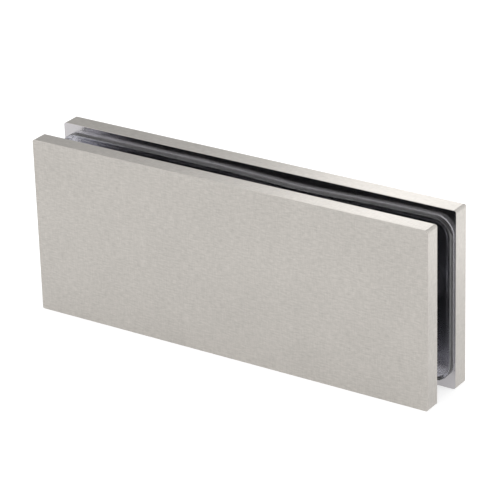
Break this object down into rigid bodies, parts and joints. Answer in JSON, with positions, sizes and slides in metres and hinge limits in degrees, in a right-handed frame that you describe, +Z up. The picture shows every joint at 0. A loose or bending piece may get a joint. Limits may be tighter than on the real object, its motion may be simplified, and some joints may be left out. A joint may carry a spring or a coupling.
{
  "type": "glass-to-glass clamp",
  "caption": "Straight clamp of two brushed metal plates that joins two glass panes edge to edge, held between clear beaded pads on sleeved posts and countersunk screws.",
  "frame": {"origin": "middle of the glass slot: half way along the plates, half way up, half way between the two plates", "axes": "+X along the plates, to the right as seen from the front plate; +Y from the front plate to the back plate; +Z up"},
  "size_m": [0.1525, 0.0243, 0.0624],
  "materials": {
    "plates": "warm grey nickel finish, brushed outside, polished on the inner face",
    "pads": "clear soft vinyl",
    "posts": "turned brass",
    "sleeves": "black nylon",
    "screws": "plain stainless steel"
  },
  "bodies": {
    "front_jaw": {"front_plate": "plates", "front_pad": "pads", "post_1": "posts", "post_2": "posts", "post_3": "posts", "post_4": "posts", "sleeve_1": "sleeves", "sleeve_2": "sleeves", "sleeve_3": "sleeves", "sleeve_4": "sleeves"},
    "back_jaw": {"back_plate": "plates", "back_pad": "pads"},
    "screw_1_body": {"screw_1": "screws"},
    "screw_2_body": {"screw_2": "screws"},
    "screw_3_body": {"screw_3": "screws"},
    "screw_4_body": {"screw_4": "screws"}
  },
  "joints": [
    {"name": "jaw_slide", "type": "slide", "parent": "front_jaw", "child": "back_jaw", "axis": [0, 1, 0], "range_m": [-0.0014, 0.0075]},
    {"name": "screw_1_turn", "type": "hinge", "parent": "back_jaw", "child": "screw_1_body", "pos_m": [-0.058, 0, 0], "axis": [0, 1, 0], "range_deg": [-510, 2710]},
    {"name": "screw_2_turn", "type": "hinge", "parent": "back_jaw", "child": "screw_2_body", "pos_m": [-0.028, 0, 0], "axis": [0, 1, 0], "range_deg": [-510, 2710]},
    {"name": "screw_3_turn", "type": "hinge", "parent": "back_jaw", "child": "screw_3_body", "pos_m": [0.028, 0, 0], "axis": [0, 1, 0], "range_deg": [-510, 2710]},
    {"name": "screw_4_turn", "type": "hinge", "parent": "back_jaw", "child": "screw_4_body", "pos_m": [0.058, 0, 0], "axis": [0, 1, 0], "range_deg": [-510, 2710]}
  ],
  "couplings": [
    {"joint": "screw_1_turn", "follows": "jaw_slide", "rad_per_m": 6283.2},
    {"joint": "screw_2_turn", "follows": "jaw_slide", "rad_per_m": 6283.2},
    {"joint": "screw_3_turn", "follows": "jaw_slide", "rad_per_m": 6283.2},
    {"joint": "screw_4_turn", "follows": "jaw_slide", "rad_per_m": 6283.2}
  ]
}
